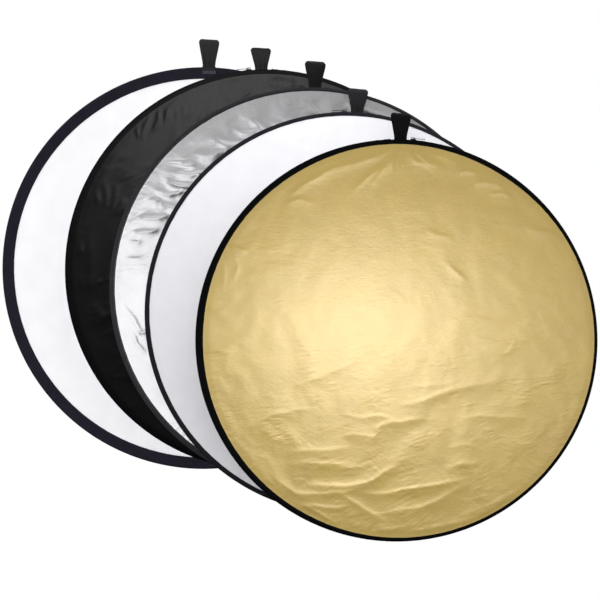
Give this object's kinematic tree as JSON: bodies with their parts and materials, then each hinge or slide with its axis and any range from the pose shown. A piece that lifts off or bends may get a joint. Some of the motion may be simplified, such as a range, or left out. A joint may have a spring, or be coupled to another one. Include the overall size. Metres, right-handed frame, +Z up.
{
  "type": "collapsible reflector disc",
  "caption": "Fan of round fabric light reflectors on spring steel hoops: a bare diffuser and zip-covered gold, white, silver and black faces, each with a webbing hanging loop.",
  "frame": {"origin": "centre of the front sheet of the gold disc, the frontmost of the fan", "axes": "+X to the viewer's right, +Z up, the reflecting faces look along -Y"},
  "size_m": [1.1831, 0.175, 0.999],
  "materials": {
    "spring_steel": "bright",
    "sleeve_steel": "satin",
    "diffusion_fabric": "satin",
    "binding_fabric": "matte",
    "gold_fabric": "metallic satin",
    "silver_fabric": "metallic satin",
    "white_fabric": "satin",
    "black_fabric": "satin",
    "rim_tape": "matte",
    "zip_coil": "matte",
    "slider_metal": "satin",
    "webbing": "matte"
  },
  "bodies": {
    "gold_disc": {"gold_hoop": "spring_steel", "gold_hoop_sleeve": "sleeve_steel", "gold_core_sheet": "diffusion_fabric", "gold_core_binding": "binding_fabric", "gold_front_face": "gold_fabric", "gold_back_face": "silver_fabric", "gold_front_rim_tape": "rim_tape", "gold_back_rim_tape": "rim_tape", "gold_zip": "zip_coil", "gold_loop_tab": "webbing"},
    "gold_loop": {"gold_loop": "webbing"},
    "gold_slider": {"gold_zip_slider": "slider_metal"},
    "gold_pull": {"gold_zip_pull": "slider_metal"},
    "white_disc": {"white_hoop": "spring_steel", "white_hoop_sleeve": "sleeve_steel", "white_core_sheet": "diffusion_fabric", "white_core_binding": "binding_fabric", "white_front_face": "white_fabric", "white_back_face": "black_fabric", "white_front_rim_tape": "rim_tape", "white_back_rim_tape": "rim_tape", "white_zip": "zip_coil", "white_loop_tab": "webbing"},
    "white_loop": {"white_loop": "webbing"},
    "white_slider": {"white_zip_slider": "slider_metal"},
    "white_pull": {"white_zip_pull": "slider_metal"},
    "silver_disc": {"silver_hoop": "spring_steel", "silver_hoop_sleeve": "sleeve_steel", "silver_core_sheet": "diffusion_fabric", "silver_core_binding": "binding_fabric", "silver_front_face": "silver_fabric", "silver_back_face": "gold_fabric", "silver_front_rim_tape": "rim_tape", "silver_back_rim_tape": "rim_tape", "silver_zip": "zip_coil", "silver_loop_tab": "webbing"},
    "silver_loop": {"silver_loop": "webbing"},
    "silver_slider": {"silver_zip_slider": "slider_metal"},
    "silver_pull": {"silver_zip_pull": "slider_metal"},
    "black_disc": {"black_hoop": "spring_steel", "black_hoop_sleeve": "sleeve_steel", "black_core_sheet": "diffusion_fabric", "black_core_binding": "binding_fabric", "black_front_face": "black_fabric", "black_back_face": "white_fabric", "black_front_rim_tape": "rim_tape", "black_back_rim_tape": "rim_tape", "black_zip": "zip_coil", "black_loop_tab": "webbing"},
    "black_loop": {"black_loop": "webbing"},
    "black_slider": {"black_zip_slider": "slider_metal"},
    "black_pull": {"black_zip_pull": "slider_metal"},
    "diffuser_disc": {"diffuser_hoop": "spring_steel", "diffuser_hoop_sleeve": "sleeve_steel", "diffuser_core_sheet": "diffusion_fabric", "diffuser_core_binding": "binding_fabric", "diffuser_loop_tab": "webbing"},
    "diffuser_loop": {"diffuser_loop": "webbing"}
  },
  "joints": [
    {"name": "gold_disc_slide", "type": "slide", "parent": "diffuser_disc", "child": "gold_disc", "axis": [-0.9363, 0, 0.3511], "range_m": [0, 0.41011]},
    {"name": "gold_loop_swing", "type": "hinge", "parent": "gold_disc", "child": "gold_loop", "pos_m": [0.00807, 0.0069, 0.40192], "axis": [0.9998, 0, -0.0201], "range_deg": [-20, 60]},
    {"name": "gold_zip_run", "type": "hinge", "parent": "gold_disc", "child": "gold_slider", "pos_m": [0, 0.0069, 0], "axis": [0, 1, 0], "range_deg": [0, 350]},
    {"name": "gold_pull_flip", "type": "hinge", "parent": "gold_slider", "child": "gold_pull", "pos_m": [0.03332, 0.0069, 0.40102], "axis": [0, -1, 0], "range_deg": [0, 105]},
    {"name": "white_disc_slide", "type": "slide", "parent": "diffuser_disc", "child": "white_disc", "axis": [-0.9535, 0, 0.3015], "range_m": [0, 0.29681]},
    {"name": "white_loop_swing", "type": "hinge", "parent": "white_disc", "child": "white_loop", "pos_m": [-0.07786, 0.0469, 0.45583], "axis": [0.9983, 0, -0.0576], "range_deg": [-20, 60]},
    {"name": "white_zip_run", "type": "hinge", "parent": "white_disc", "child": "white_slider", "pos_m": [-0.101, 0.0469, 0.0545], "axis": [0, -1, 0], "range_deg": [0, 350]},
    {"name": "white_pull_flip", "type": "hinge", "parent": "white_slider", "child": "white_pull", "pos_m": [-0.10311, 0.0469, 0.45689], "axis": [0, 1, 0], "range_deg": [0, 105]},
    {"name": "silver_disc_slide", "type": "slide", "parent": "diffuser_disc", "child": "silver_disc", "axis": [-0.9827, 0, 0.185], "range_m": [0, 0.21623]},
    {"name": "silver_loop_swing", "type": "hinge", "parent": "silver_disc", "child": "silver_loop", "pos_m": [-0.16168, 0.0869, 0.50588], "axis": [0.9997, 0, -0.0244], "range_deg": [-20, 60]},
    {"name": "silver_zip_run", "type": "hinge", "parent": "silver_disc", "child": "silver_slider", "pos_m": [-0.1715, 0.0869, 0.104], "axis": [0, -1, 0], "range_deg": [0, 350]},
    {"name": "silver_pull_flip", "type": "hinge", "parent": "silver_slider", "child": "silver_pull", "pos_m": [-0.18695, 0.0869, 0.5061], "axis": [0, 1, 0], "range_deg": [0, 105]},
    {"name": "black_disc_slide", "type": "slide", "parent": "diffuser_disc", "child": "black_disc", "axis": [-0.9995, 0, 0.0322], "range_m": [0, 0.12406]},
    {"name": "black_loop_swing", "type": "hinge", "parent": "black_disc", "child": "black_loop", "pos_m": [-0.26842, 0.1269, 0.54191], "axis": [0.9998, 0, 0.0209], "range_deg": [-20, 60]},
    {"name": "black_zip_run", "type": "hinge", "parent": "black_disc", "child": "black_slider", "pos_m": [-0.26, 0.1269, 0.14], "axis": [0, -1, 0], "range_deg": [0, 350]},
    {"name": "black_pull_flip", "type": "hinge", "parent": "black_slider", "child": "black_pull", "pos_m": [-0.29367, 0.1269, 0.54099], "axis": [0, 1, 0], "range_deg": [0, 105]},
    {"name": "diffuser_loop_swing", "type": "hinge", "parent": "diffuser_disc", "child": "diffuser_loop", "pos_m": [-0.37274, 0.1669, 0.54724], "axis": [0.9996, 0, -0.0279], "range_deg": [-60, 60]}
  ]
}
